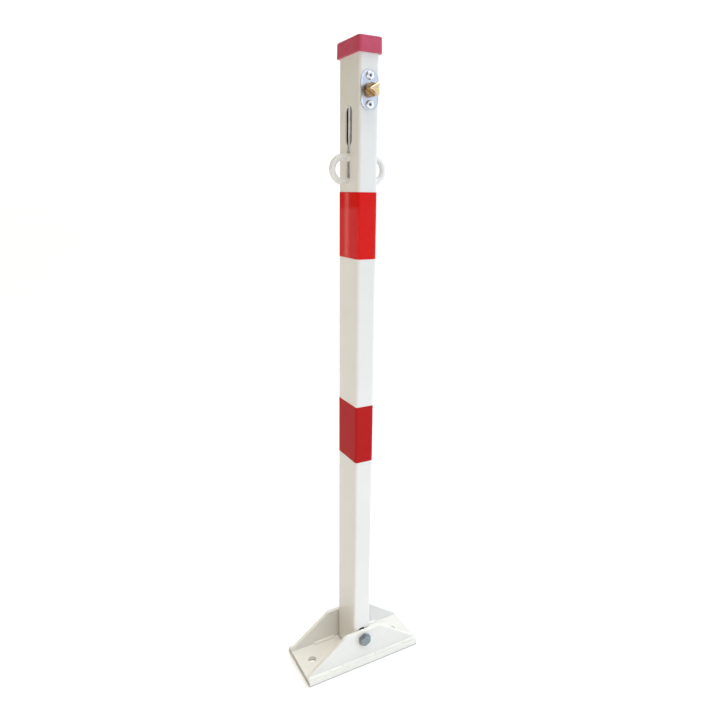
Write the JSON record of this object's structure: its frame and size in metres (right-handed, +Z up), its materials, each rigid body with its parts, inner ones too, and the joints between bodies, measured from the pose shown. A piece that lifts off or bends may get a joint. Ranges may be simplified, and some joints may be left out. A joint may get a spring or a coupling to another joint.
{
  "type": "fold-down bollard",
  "caption": "Fold-down street bollard: rectangular post with red bands, cap and chain eyes, hinged in a steel foot and held by a triangular-key lock.",
  "frame": {"origin": "centre of the base plate's underside, midway between the two anchor holes", "axes": "+Z up along the post; +X along the base plate's long side, the direction the post folds in; the lock plate and the hinge bolt's head face -Y"},
  "size_m": [0.21, 0.0985, 0.977],
  "materials": {
    "base_paint": "white paint on welded steel, satin",
    "post_paint": "white powder coat, semi-gloss",
    "red_reflective": "red retroreflective sheeting",
    "cap_plastic": "crimson moulded plastic, satin",
    "zinc_fastener": "blue-grey zinc plate",
    "zinc_bar": "galvanised flat bar",
    "cast_zinc": "cast zinc, matt",
    "bright_steel": "bright stainless steel",
    "brass": "machined brass",
    "nylon": "natural nylon"
  },
  "bodies": {
    "base": {"base_plate": "base_paint", "side_plate_front": "base_paint", "side_plate_back": "base_paint", "weld_beads_front": "base_paint", "weld_beads_back": "base_paint", "weld_beads_inner": "base_paint", "hinge_bolt": "zinc_fastener", "hinge_washer": "zinc_fastener", "hinge_lock_nut": "zinc_fastener", "lock_nut_ring": "nylon"},
    "post": {"post_tube": "post_paint", "pivot_bush_front": "nylon", "pivot_bush_back": "nylon", "top_cap": "cap_plastic", "reflective_band_lower": "red_reflective", "reflective_band_upper": "red_reflective", "chain_eye_left": "post_paint", "chain_eye_right": "post_paint", "eye_welds_left": "post_paint", "eye_welds_right": "post_paint", "lock_plate": "bright_steel", "lock_rivets": "bright_steel", "lock_housing": "cast_zinc", "friction_washer": "bright_steel", "bar_guide_lower": "nylon", "bar_guide_middle": "nylon", "bar_guide_upper": "nylon"},
    "key_spindle": {"key_spindle": "brass", "crank_disc": "bright_steel", "crank_pin": "bright_steel", "crank_screw": "zinc_fastener"},
    "locking_bar": {"locking_bar": "zinc_bar"}
  },
  "joints": [
    {"name": "post_fold", "type": "hinge", "parent": "base", "child": "post", "pos_m": [0, 0, 0.048], "axis": [0, 1, 0], "range_deg": [-90, 90]},
    {"name": "key_turn", "type": "hinge", "parent": "post", "child": "key_spindle", "pos_m": [0, 0, 0.912], "axis": [0, 1, 0], "range_deg": [0, 90]},
    {"name": "bar_drop", "type": "slide", "parent": "post", "child": "locking_bar", "axis": [0, 0, -1], "range_m": [0, 0.0099]}
  ],
  "couplings": [
    {"joint": "key_turn", "follows": "bar_drop", "rad_per_m": 158.67}
  ]
}
